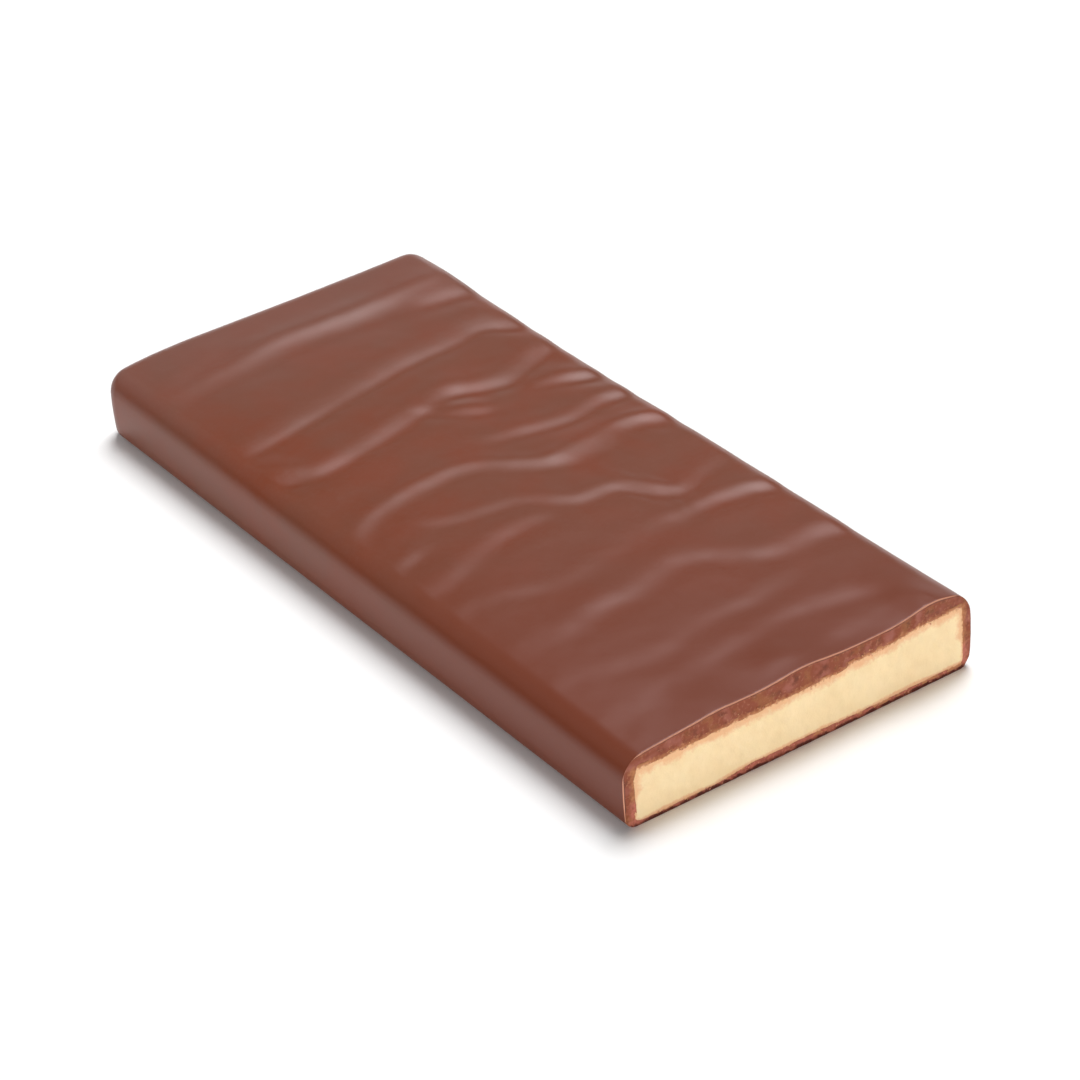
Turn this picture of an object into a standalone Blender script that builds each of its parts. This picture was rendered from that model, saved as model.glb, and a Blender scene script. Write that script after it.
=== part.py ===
"""A slab of filled milk chocolate with one end sliced off.

Two sub-parts: the chocolate coating, a closed shell with a rippled top that is open
at the cut, and the pale filling that runs through it and shows there.

Frame: X along the bar towards the cut, Y across it, Z up. The origin is the middle of
the footprint, on the surface that the bar lies on. Lengths are in metres.
"""

import math

import bmesh
import bpy
from mathutils import Vector

MM = 0.001

# Driving dimensions of the bar
LENGTH = 125.5 * MM
WIDTH = 55.0 * MM
HEIGHT = 11.1 * MM
TOP_ROUNDING = 2.8 * MM
BOTTOM_ROUNDING = 1.4 * MM
CORNER_RADIUS = 3.2 * MM
BACK_SKEW = math.radians(0.3)
SIDE_BULGE = 0.25 * MM

# Filling, and the clearance that keeps the two meshes apart
GAP = 0.3 * MM
FILLING_HALF_WIDTH = 25.9 * MM
FILLING_BOTTOM = 1.1 * MM
FILLING_TOP = 8.7 * MM
FILLING_LEAN = 0.6 * MM
FILLING_BACK_WALL = 2.0 * MM
FILLING_EDGE = 1.2 * MM
FILLING_CORNER = 2.6 * MM
FILLING_STEPS = 4

# Mesh spacing of the coating
STEP_ALONG = 1.5 * MM
STEP_ACROSS = 2.4 * MM
SIDE_ROWS = 2
TOP_SEGMENTS = 4
BOTTOM_SEGMENTS = 3
CORNER_SEGMENTS = 4

# Ripples fade out down the sides, from the top rounding to this share of the height
RIPPLE_FADE_START = 0.30
RIPPLE_FADE_END = 0.85

# The near long edge rolls off softly: how far from the middle it starts, and its fall at the side
ROLL_START = 13.0 * MM
ROLL_FALL = 1.1 * MM

# Ripples weaken towards the long edges: from this place across, and by this share
EDGE_CALM_START = 22.0 * MM
EDGE_CALM = 0.85

# Ripples left by the blown chocolate. Each is a fold across the bar: the surface climbs
# to a crest, drops over its front towards the cut and recovers from the hollow.
# Half the drop of a full ripple, and how fast the crest side turns into the hollow side
FOLD_DROP = 0.21 * MM
FOLD_TURN = 0.8

# In mm: width of the crest side, width of the hollow side, then stations from the near
# edge to the far one as (place across, place along, strength, 1 for a full ripple).
FOLDS = {
    "back fold": (2.4, 3.0, ((-26, -47.6, 1.05), (-13, -48.8, 1.20), (-3, -50.2, 1.50),
                             (9, -50.0, 1.60), (17, -50.2, 1.15), (26, -50.2, 1.20))),
    "back shoulder": (2.4, 2.0, ((-27, -51.0, 0.50), (-20, -52.2, 0.80), (-14, -53.4, 0.70),
                                 (-6, -55.0, 0.0))),
    "back far fold": (2.2, 2.0, ((13, -46.8, 0.0), (20, -46.4, 0.95), (26, -45.8, 1.40))),
    "second fold": (3.2, 1.7, ((-26, -28.2, 0.75), (-17, -29.4, 0.95), (-5, -32.0, 0.85),
                               (6, -34.3, 1.15), (14, -35.0, 0.95), (20, -36.1, 0.95),
                               (26, -32.6, 1.70))),
    "third fold": (2.4, 1.7, ((-26, -21.6, 1.60), (-23, -19.3, 1.45), (-19, -17.3, 0.95),
                              (-13, -18.0, 0.85), (-4, -20.2, 1.00), (2, -22.2, 0.80),
                              (7, -23.0, 1.30), (11, -21.4, 1.10), (15, -21.0, 1.15),
                              (20, -23.2, 1.00), (26, -25.6, 1.40))),
    "third fold loop": (1.7, 1.5, ((-2, -22.0, 0.0), (2.5, -18.8, 0.50), (6, -16.1, 0.70),
                                   (10, -15.0, 0.20), (14, -15.0, 0.0))),
    "far fold": (1.8, 1.5, ((13, -17.0, 0.0), (18, -16.4, 0.50), (26, -13.7, 1.50))),
    "fourth fold": (1.9, 1.5, ((0, -9.0, 0.0), (5, -8.0, 0.45), (10, -6.9, 0.75), (15, -6.3, 0.85),
                               (20, -7.4, 0.70), (26, -7.0, 1.60))),
    "middle fold": (1.6, 2.0, ((-26, 1.0, 0.25), (-23, -0.9, 0.55), (-19, -2.8, 0.65),
                               (-8, -4.6, 0.72), (-3, -4.2, 0.65), (2, -0.6, 0.80), (6, 1.7, 0.80),
                               (10, 1.4, 0.45), (14, 0.8, 0.45), (20, 0.3, 0.95), (26, 2.4, 1.70))),
    "middle step": (2.6, 2.4, ((4, 3.0, 0.0), (9, 2.8, 0.75), (14, 2.6, 0.60), (19, 2.6, 0.15),
                               (23, 2.6, 0.0))),
    "forked fold": (1.7, 1.5, ((-20, -0.8, 0.0), (-16, 3.6, 0.38), (-10, 6.0, 0.38), (-3, 7.3, 0.42),
                               (3, 12.0, 0.58), (9, 12.9, 0.75), (12.5, 17.2, 0.90), (15, 19.3, 0.75),
                               (20, 17.2, 0.35), (26, 16.0, 0.20))),
    "near fold": (2.0, 1.6, ((-26, 17.5, 0.40), (-21, 17.0, 0.32), (-15, 14.6, 0.32),
                             (-10, 12.8, 0.62), (-5, 12.6, 0.40), (2, 12.8, 0.0))),
    "near crease": (1.5, 1.4, ((-27, 10.5, 0.25), (-22, 9.4, 0.38), (-17, 8.6, 0.0))),
    "fifth fold": (1.8, 1.7, ((-26, 24.2, 0.30), (-19, 24.3, 0.20), (-15, 25.8, 0.28),
                              (-10, 27.2, 0.18), (0, 25.0, 0.14), (6, 24.2, 0.14), (11, 24.2, 0.50),
                              (15, 23.8, 0.80), (20, 24.4, 0.80), (26, 26.2, 1.35))),
    "sixth fold": (2.2, 2.0, ((-26, 36.0, 0.10), (-20, 36.4, 0.18), (-15, 36.2, 0.34),
                              (-10, 34.8, 0.62), (-5, 34.6, 0.50), (1, 33.0, 0.42), (6, 33.0, 0.45),
                              (10, 36.4, 0.45), (14, 39.0, 0.70), (20, 39.3, 0.60), (26, 39.7, 1.35))),
    "seventh fold": (2.0, 1.7, ((-26, 45.0, 0.10), (-20, 45.4, 0.10), (-14, 47.4, 0.17),
                                (-9, 47.6, 0.22), (-4, 46.2, 0.12), (1, 45.6, 0.24), (5, 46.0, 0.32),
                                (10, 45.2, 0.24), (15, 43.6, 0.22), (20, 42.0, 0.0))),
    "eighth fold": (2.0, 1.7, ((-26, 56.0, 0.05), (-20, 55.0, 0.06), (-13, 54.0, 0.09),
                               (-6, 53.0, 0.24), (0, 52.7, 0.30), (5, 51.6, 0.26), (10, 51.9, 0.32),
                               (15, 53.1, 0.42), (21, 55.0, 0.10))),
    "last fold": (1.8, 1.6, ((-6, 60.6, 0.0), (0, 60.2, 0.30), (5, 60.0, 0.14), (10, 59.4, 0.26),
                             (15, 59.0, 0.0))),
}

# Broad swells and sags under the ripples, in mm: along, across, reach along, reach
# across, rise
SWELLS = (
    (-53.0, 25.0, 6.5, 7.0, 0.45),
    (-18.0, 24.0, 16.0, 12.0, -0.38),
    (62.0, 21.3, 6.0, 2.9, 0.98),
    (62.0, 0.6, 4.5, 3.2, 0.58),
    (62.0, -12.5, 4.0, 2.2, 0.26),
    (62.0, -20.0, 10.0, 8.0, -0.25),
)

# Colours of the two materials, as linear RGB
CHOCOLATE = (0.22, 0.078, 0.045)
CREAM = (0.87, 0.70, 0.42)


def smoothstep(low, high, value):
    """Blend from 0 at low to 1 at high."""
    t = min(max((value - low) / (high - low), 0.0), 1.0)
    return t * t * (3.0 - 2.0 * t)


def follow(stations, across):
    """Return place along, slope and strength of a fold at a place across the bar, in mm."""
    if across <= stations[0][0]:
        return stations[0][1], 0.0, stations[0][2]
    if across >= stations[-1][0]:
        return stations[-1][1], 0.0, stations[-1][2]
    index = next(i for i in range(len(stations) - 1) if across <= stations[i + 1][0])
    y0, x0, strength0 = stations[index]
    y1, x1, strength1 = stations[index + 1]
    span = y1 - y0
    before = stations[max(index - 1, 0)]
    after = stations[min(index + 2, len(stations) - 1)]
    m0 = (x1 - before[1]) / (y1 - before[0]) * span
    m1 = (after[1] - x0) / (after[0] - y0) * span
    t = (across - y0) / span
    along = ((2 * t**3 - 3 * t**2 + 1) * x0 + (t**3 - 2 * t**2 + t) * m0
             + (3 * t**2 - 2 * t**3) * x1 + (t**3 - t**2) * m1)
    slope = ((6 * t**2 - 6 * t) * x0 + (3 * t**2 - 4 * t + 1) * m0
             + (6 * t - 6 * t**2) * x1 + (3 * t**2 - 2 * t) * m1) / span
    return along, slope, strength0 + (strength1 - strength0) * smoothstep(0.0, 1.0, t)


def fold_rise(x, y):
    """Height of all the folds at a place on the top, with x, y and the result in metres."""
    along, across = x / MM, y / MM
    rise = 0.0
    for crest_width, hollow_width, stations in FOLDS.values():
        line, slope, strength = follow(stations, across)
        offset = (along - line) / math.hypot(1.0, slope)
        crest = 1.0 / (1.0 + math.exp(min(max(offset / FOLD_TURN, -30.0), 30.0)))
        t = offset / (hollow_width + (crest_width - hollow_width) * crest)
        rise -= strength * t * math.exp(0.5 * (1.0 - t * t))
    calm = EDGE_CALM * smoothstep(EDGE_CALM_START, WIDTH / 2, abs(y))
    return rise * FOLD_DROP * (1.0 - calm)


def swell_rise(x, y):
    """Height of the broad swells and sags at a place on the top, in metres."""
    rise = 0.0
    for centre_x, centre_y, reach_x, reach_y, height in SWELLS:
        u = (x / MM - centre_x) / reach_x
        v = (y / MM - centre_y) / reach_y
        rise += height * math.exp(-0.5 * (u * u + v * v))
    return rise * MM


def top_rise(x, y):
    """Height of the finished top over the flat one: ripples, swells and the soft roll-off."""
    roll = max(-y - ROLL_START, 0.0) / (WIDTH / 2 - ROLL_START)
    return fold_rise(x, y) + swell_rise(x, y) - ROLL_FALL * roll * roll


def bend(point):
    """Move a point of the straight slab to its place on the bar, with full sides and a skewed back."""
    back = 0.5 - point.x / LENGTH
    middle = 4.0 * (point.z / HEIGHT) * (1.0 - point.z / HEIGHT)
    side = smoothstep(0.8, 1.0, abs(point.y) / (WIDTH / 2)) * math.copysign(1.0, point.y)
    y = point.y + side * SIDE_BULGE * (middle - 1.0)
    x = point.x - math.tan(BACK_SKEW) * point.y * back
    return Vector((x, y, point.z))


def is_level(edge, z):
    """Say whether both ends of an edge lie at one height."""
    return all(abs(vert.co.z - z) < 0.01 * MM for vert in edge.verts)


def on_cut(edge):
    """Say whether an edge lies in the plane of the cut."""
    return all(abs(vert.co.x - LENGTH / 2) < 0.01 * MM for vert in edge.verts)


def bevel(bm, edges, radius, segments):
    """Round the given edges of a mesh."""
    bmesh.ops.bevel(bm, geom=edges, offset=radius, segments=segments, profile=0.5,
                    affect="EDGES", clamp_overlap=True)


def slice_faces(bm, chosen, axis, places):
    """Cut the faces that pass the test along one axis, at each of the places."""
    normal = Vector((0.0, 0.0, 0.0))
    normal[axis] = 1.0
    for place in places:
        point = Vector((0.0, 0.0, 0.0))
        point[axis] = place
        faces = [face for face in bm.faces if chosen(face)]
        edges = list({edge for face in faces for edge in face.edges})
        verts = list({vert for face in faces for vert in face.verts})
        bmesh.ops.bisect_plane(bm, geom=verts + edges + faces, dist=0.02 * MM,
                               plane_co=point, plane_no=normal)


def spread(low, high, step):
    """Return evenly spaced places from low to high, about one step apart, without the ends."""
    count = max(round((high - low) / step), 1)
    return [low + (high - low) * i / count for i in range(1, count)]


def new_box(low, high):
    """Return a bmesh box between two corners."""
    bm = bmesh.new()
    bmesh.ops.create_cube(bm, size=1.0)
    for vert in bm.verts:
        for axis in range(3):
            vert.co[axis] = low[axis] if vert.co[axis] < 0.0 else high[axis]
    return bm


def new_object(name, bm, collection, material=None):
    """Make an object of a bmesh, with outward faces, in a collection."""
    bmesh.ops.recalc_face_normals(bm, faces=bm.faces)
    mesh = bpy.data.meshes.new(name)
    bm.to_mesh(mesh)
    bm.free()
    if material:
        mesh.materials.append(material)
    obj = bpy.data.objects.new(name, mesh)
    collection.objects.link(obj)
    return obj


def new_material(name, colour, roughness):
    """Make a plain material of one colour."""
    material = bpy.data.materials.new(name)
    material.use_nodes = True
    shader = material.node_tree.nodes["Principled BSDF"]
    shader.inputs["Base Color"].default_value = (*colour, 1.0)
    shader.inputs["Roughness"].default_value = roughness
    shader.inputs["Metallic"].default_value = 0.0
    material.diffuse_color = (*colour, 1.0)
    return material


def coating_body():
    """Model the outer form of the bar: a rounded slab whose top and upper sides ripple."""
    bm = new_box((-LENGTH / 2, -WIDTH / 2, 0.0), (LENGTH / 2, WIDTH / 2, HEIGHT))
    uprights = [edge for edge in bm.edges
                if all(vert.co.x < 0.0 for vert in edge.verts)
                and abs(edge.verts[0].co.y - edge.verts[1].co.y) < 0.01 * MM
                and not is_level(edge, 0.0) and not is_level(edge, HEIGHT)]
    bevel(bm, uprights, CORNER_RADIUS, CORNER_SEGMENTS)
    bevel(bm, [edge for edge in bm.edges if is_level(edge, HEIGHT) and not on_cut(edge)],
          TOP_ROUNDING, TOP_SEGMENTS)
    bevel(bm, [edge for edge in bm.edges if is_level(edge, 0.0) and not on_cut(edge)],
          BOTTOM_ROUNDING, BOTTOM_SEGMENTS)

    def above_base(face):
        """Choose the sides, the top rounding and the top, without the cut face."""
        return (face.calc_center_median().z > BOTTOM_ROUNDING
                and not all(on_cut(edge) for edge in face.edges))

    side_height = HEIGHT - TOP_ROUNDING - BOTTOM_ROUNDING
    slice_faces(bm, above_base, 2,
                [BOTTOM_ROUNDING + side_height * i / SIDE_ROWS for i in range(1, SIDE_ROWS)])
    slice_faces(bm, above_base, 0,
                spread(-LENGTH / 2 + CORNER_RADIUS, LENGTH / 2, STEP_ALONG))
    slice_faces(bm, above_base, 1,
                spread(-WIDTH / 2 + CORNER_RADIUS, WIDTH / 2 - CORNER_RADIUS, STEP_ACROSS))

    for vert in bm.verts:
        share = smoothstep(RIPPLE_FADE_START, RIPPLE_FADE_END, vert.co.z / HEIGHT)
        rise = share * top_rise(vert.co.x, vert.co.y)
        vert.co = bend(vert.co)
        vert.co.z += rise
    return bm


def filling_body(grow, past_cut):
    """Model the filling, or with grow the hollow that holds it."""
    low = (-LENGTH / 2 + FILLING_BACK_WALL - grow, -FILLING_HALF_WIDTH - grow, FILLING_BOTTOM - grow)
    high = (LENGTH / 2 + past_cut, FILLING_HALF_WIDTH + grow, FILLING_TOP + grow)
    bm = new_box(low, high)

    def at_front(edge):
        """Say whether an edge belongs to the face at the cut."""
        return all(abs(vert.co.x - high[0]) < 0.01 * MM for vert in edge.verts)

    uprights = [edge for edge in bm.edges
                if all(abs(vert.co.x - low[0]) < 0.01 * MM for vert in edge.verts)
                and abs(edge.verts[0].co.y - edge.verts[1].co.y) < 0.01 * MM]
    bevel(bm, uprights, FILLING_CORNER, FILLING_STEPS)
    rims = [edge for edge in bm.edges
            if (is_level(edge, low[2]) or is_level(edge, high[2])) and not at_front(edge)]
    bevel(bm, rims, FILLING_EDGE, FILLING_STEPS)
    for vert in bm.verts:
        lean = FILLING_LEAN * vert.co.y / FILLING_HALF_WIDTH
        share = smoothstep(low[2] + FILLING_EDGE, high[2] - FILLING_EDGE, vert.co.z)
        vert.co = bend(vert.co)
        vert.co.z += lean * share
    return bm


def centre_footprint(objects, measured):
    """Move every object so that the middle of one object's footprint is the origin."""
    xs = [vert.co.x for vert in measured.data.vertices]
    ys = [vert.co.y for vert in measured.data.vertices]
    shift = Vector((-(min(xs) + max(xs)) / 2, -(min(ys) + max(ys)) / 2, 0.0))
    for obj in objects:
        for vert in obj.data.vertices:
            vert.co += shift


def main():
    """Build the bar."""
    for obj in list(bpy.data.objects):
        bpy.data.objects.remove(obj, do_unlink=True)
    parts = bpy.data.collections.new("chocolate_bar")
    cutters = bpy.data.collections.new("cutters")
    for collection in (parts, cutters):
        bpy.context.scene.collection.children.link(collection)

    coating = new_object("chocolate_coating", coating_body(), parts,
                         new_material("milk_chocolate", CHOCOLATE, 0.42))
    filling = new_object("filling", filling_body(0.0, 0.0), parts,
                         new_material("cream_filling", CREAM, 0.75))
    hollow = new_object("filling_hollow", filling_body(GAP, 2.0 * MM), cutters)
    hollow.hide_render = True
    hollow.display_type = "WIRE"
    centre_footprint((coating, filling, hollow), coating)

    cut = coating.modifiers.new("hollow", "BOOLEAN")
    cut.operation = "DIFFERENCE"
    cut.solver = "EXACT"
    cut.object = hollow
    for obj in (coating, filling):
        obj.data.set_sharp_from_angle(angle=math.radians(40.0))


if __name__ == "__main__":
    main()
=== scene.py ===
"""The looks of a slab of filled milk chocolate with one end sliced off.

The rippled coating and the filling replace their solids with fine meshes of the same
form: the cut gets its raised rim, its crumbly chocolate and the grain of the filling,
and loose crumbs lie along the cut. Lengths are in metres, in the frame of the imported
model: X along the bar towards the cut, Y across it, Z up.
"""
import logging
import math
import random
from collections.abc import Callable
from dataclasses import dataclass, field
from enum import Enum

import bmesh
import bpy
import numpy as np
from mathutils import Matrix, Vector, noise


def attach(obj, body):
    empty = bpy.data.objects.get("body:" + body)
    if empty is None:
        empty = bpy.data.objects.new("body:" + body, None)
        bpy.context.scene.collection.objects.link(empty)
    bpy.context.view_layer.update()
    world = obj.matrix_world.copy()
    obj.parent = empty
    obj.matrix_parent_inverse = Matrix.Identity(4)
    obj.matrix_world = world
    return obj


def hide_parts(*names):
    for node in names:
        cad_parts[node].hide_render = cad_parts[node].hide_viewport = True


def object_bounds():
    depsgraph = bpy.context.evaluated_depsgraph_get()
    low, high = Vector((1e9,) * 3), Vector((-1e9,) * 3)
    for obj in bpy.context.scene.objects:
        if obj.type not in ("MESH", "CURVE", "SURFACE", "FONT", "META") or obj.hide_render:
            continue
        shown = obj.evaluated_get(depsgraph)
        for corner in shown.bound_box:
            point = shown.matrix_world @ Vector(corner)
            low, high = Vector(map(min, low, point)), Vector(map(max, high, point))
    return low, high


LOG = logging.getLogger("chocolate_bar")
MM = 0.001

# Points closer than this count as one place
TOUCH = 0.01 * MM

# Stands for far away in the distances that the materials read
FAR = 5.0 * MM

# Names of those distances
SKIN_DEPTH = "skin_depth"
PASTE_GAP = "paste_gap"

# The sockets of a mix node for colours
MIX_FIRST = 6
MIX_SECOND = 7
MIX_RESULT = 2

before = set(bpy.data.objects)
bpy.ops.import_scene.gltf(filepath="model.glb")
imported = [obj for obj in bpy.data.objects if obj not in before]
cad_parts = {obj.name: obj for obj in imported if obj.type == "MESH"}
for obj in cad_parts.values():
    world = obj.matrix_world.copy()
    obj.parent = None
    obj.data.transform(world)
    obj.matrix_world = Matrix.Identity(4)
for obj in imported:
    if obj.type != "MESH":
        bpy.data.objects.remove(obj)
CAD_BOX = [list(corner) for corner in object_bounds()]


def smoothstep(low: float, high: float, value: np.ndarray) -> np.ndarray:
    """Blend smoothly between two places.

    Args:
        low: Where the blend is 0.
        high: Where the blend is 1.
        value: The places to blend at.

    Returns:
        The blend at each place, from 0 to 1.
    """
    t = np.clip((np.asarray(value, float) - low) / (high - low), 0.0, 1.0)
    return t * t * (3.0 - 2.0 * t)


def grain(points: np.ndarray, size: float, octaves: int = 1, seed: float = 0.0) -> np.ndarray:
    """Draw solid noise at some points.

    Args:
        points: The points, one per row, in metres.
        size: The size of the noise's largest lumps, in metres.
        octaves: How many layers, each half as large and half as strong as the last.
        seed: An offset that makes one noise unlike another.

    Returns:
        One value for each point, from about -1 to 1.
    """
    total = np.zeros(len(points))
    offset = Vector((seed, 1.7 * seed, -0.6 * seed))
    for octave in range(octaves):
        scale = 2.0 ** octave / size
        layer = [noise.noise(Vector(point) * scale + offset) for point in points]
        total += np.array(layer) / 2.0 ** octave
    return total


# Form of the bar


@dataclass(frozen=True)
class Fold:
    """One ripple of the top: a crest, a drop over its front towards the cut and a hollow.

    Widths and places are in mm. Each station is the place across the bar, the place
    along it and the ripple's strength there, 1 for a full ripple.
    """

    name: str
    crest_width: float
    hollow_width: float
    stations: tuple[tuple[float, float, float], ...]

    def follow(self, across: np.ndarray) -> tuple[np.ndarray, np.ndarray, np.ndarray]:
        """Follow the ripple across the bar on a smooth curve through its stations.

        Args:
            across: Places across the bar, in mm.

        Returns:
            The place along the bar, the curve's slope and the strength at each place.
        """
        y, x, strength = (np.array(column) for column in zip(*self.stations))
        index = np.clip(np.searchsorted(y, across) - 1, 0, len(y) - 2)
        span = y[index + 1] - y[index]
        before = np.maximum(index - 1, 0)
        after = np.minimum(index + 2, len(y) - 1)
        m0 = (x[index + 1] - x[before]) / (y[index + 1] - y[before]) * span
        m1 = (x[after] - x[index]) / (y[after] - y[index]) * span
        t = np.clip((across - y[index]) / span, 0.0, 1.0)
        along = ((2 * t**3 - 3 * t**2 + 1) * x[index] + (t**3 - 2 * t**2 + t) * m0
                 + (3 * t**2 - 2 * t**3) * x[index + 1] + (t**3 - t**2) * m1)
        slope = ((6 * t**2 - 6 * t) * x[index] + (3 * t**2 - 4 * t + 1) * m0
                 + (6 * t - 6 * t**2) * x[index + 1] + (3 * t**2 - 2 * t) * m1) / span
        slope = np.where((across < y[0]) | (across > y[-1]), 0.0, slope)
        blend = smoothstep(0.0, 1.0, t)
        return along, slope, strength[index] + (strength[index + 1] - strength[index]) * blend


FOLDS = (
    Fold("back fold", 2.4, 3.0, ((-26, -47.6, 1.05), (-13, -48.8, 1.20), (-3, -50.2, 1.50),
                                 (9, -50.0, 1.60), (17, -50.2, 1.15), (26, -50.2, 1.20))),
    Fold("back shoulder", 2.4, 2.0, ((-27, -51.0, 0.50), (-20, -52.2, 0.80), (-14, -53.4, 0.70),
                                     (-6, -55.0, 0.0))),
    Fold("back far fold", 2.2, 2.0, ((13, -46.8, 0.0), (20, -46.4, 0.95), (26, -45.8, 1.40))),
    Fold("second fold", 3.2, 1.7, ((-26, -28.2, 0.75), (-17, -29.4, 0.95), (-5, -32.0, 0.85),
                                   (6, -34.3, 1.15), (14, -35.0, 0.95), (20, -36.1, 0.95),
                                   (26, -32.6, 1.70))),
    Fold("third fold", 2.4, 1.7, ((-26, -21.6, 1.60), (-23, -19.3, 1.45), (-19, -17.3, 0.95),
                                  (-13, -18.0, 0.85), (-4, -20.2, 1.00), (2, -22.2, 0.80),
                                  (7, -23.0, 1.30), (11, -21.4, 1.10), (15, -21.0, 1.15),
                                  (20, -23.2, 1.00), (26, -25.6, 1.40))),
    Fold("third fold loop", 1.7, 1.5, ((-2, -22.0, 0.0), (2.5, -18.8, 0.50), (6, -16.1, 0.70),
                                       (10, -15.0, 0.20), (14, -15.0, 0.0))),
    Fold("far fold", 1.8, 1.5, ((13, -17.0, 0.0), (18, -16.4, 0.50), (26, -13.7, 1.50))),
    Fold("fourth fold", 1.9, 1.5, ((0, -9.0, 0.0), (5, -8.0, 0.45), (10, -6.9, 0.75), (15, -6.3, 0.85),
                                   (20, -7.4, 0.70), (26, -7.0, 1.60))),
    Fold("middle fold", 1.6, 2.0, ((-26, 1.0, 0.25), (-23, -0.9, 0.55), (-19, -2.8, 0.65),
                                   (-8, -4.6, 0.72), (-3, -4.2, 0.65), (2, -0.6, 0.80), (6, 1.7, 0.80),
                                   (10, 1.4, 0.45), (14, 0.8, 0.45), (20, 0.3, 0.95), (26, 2.4, 1.70))),
    Fold("middle step", 2.6, 2.4, ((4, 3.0, 0.0), (9, 2.8, 0.75), (14, 2.6, 0.60), (19, 2.6, 0.15),
                                   (23, 2.6, 0.0))),
    Fold("forked fold", 1.7, 1.5, ((-20, -0.8, 0.0), (-16, 3.6, 0.38), (-10, 6.0, 0.38),
                                   (-3, 7.3, 0.42), (3, 12.0, 0.58), (9, 12.9, 0.75),
                                   (12.5, 17.2, 0.90), (15, 19.3, 0.75), (20, 17.2, 0.35),
                                   (26, 16.0, 0.20))),
    Fold("near fold", 2.0, 1.6, ((-26, 17.5, 0.40), (-21, 17.0, 0.32), (-15, 14.6, 0.32),
                                 (-10, 12.8, 0.62), (-5, 12.6, 0.40), (2, 12.8, 0.0))),
    Fold("near crease", 1.5, 1.4, ((-27, 10.5, 0.25), (-22, 9.4, 0.38), (-17, 8.6, 0.0))),
    Fold("fifth fold", 1.8, 1.7, ((-26, 24.2, 0.30), (-19, 24.3, 0.20), (-15, 25.8, 0.28),
                                  (-10, 27.2, 0.18), (0, 25.0, 0.14), (6, 24.2, 0.14),
                                  (11, 24.2, 0.50), (15, 23.8, 0.80), (20, 24.4, 0.80),
                                  (26, 26.2, 1.35))),
    Fold("sixth fold", 2.2, 2.0, ((-26, 36.0, 0.10), (-20, 36.4, 0.18), (-15, 36.2, 0.34),
                                  (-10, 34.8, 0.62), (-5, 34.6, 0.50), (1, 33.0, 0.42),
                                  (6, 33.0, 0.45), (10, 36.4, 0.45), (14, 39.0, 0.70),
                                  (20, 39.3, 0.60), (26, 39.7, 1.35))),
    Fold("seventh fold", 2.0, 1.7, ((-26, 45.0, 0.10), (-20, 45.4, 0.10), (-14, 47.4, 0.17),
                                    (-9, 47.6, 0.22), (-4, 46.2, 0.12), (1, 45.6, 0.24),
                                    (5, 46.0, 0.32), (10, 45.2, 0.24), (15, 43.6, 0.22),
                                    (20, 42.0, 0.0))),
    Fold("eighth fold", 2.0, 1.7, ((-26, 56.0, 0.05), (-20, 55.0, 0.06), (-13, 54.0, 0.09),
                                   (-6, 53.0, 0.24), (0, 52.7, 0.30), (5, 51.6, 0.26),
                                   (10, 51.9, 0.32), (15, 53.1, 0.42), (21, 55.0, 0.10))),
    Fold("last fold", 1.8, 1.6, ((-6, 60.6, 0.0), (0, 60.2, 0.30), (5, 60.0, 0.14), (10, 59.4, 0.26),
                                 (15, 59.0, 0.0))),
)


@dataclass(frozen=True)
class Swell:
    """A broad swell or sag under the ripples: its place, its reach and its rise, in mm."""

    along: float
    across: float
    reach_along: float
    reach_across: float
    rise: float


SWELLS = (
    Swell(-53.0, 25.0, 6.5, 7.0, 0.45),
    Swell(-18.0, 24.0, 16.0, 12.0, -0.38),
    Swell(62.0, 21.3, 6.0, 2.9, 0.98),
    Swell(62.0, 0.6, 4.5, 3.2, 0.58),
    Swell(62.0, -12.5, 4.0, 2.2, 0.26),
    Swell(62.0, -20.0, 10.0, 8.0, -0.25),
)


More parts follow.
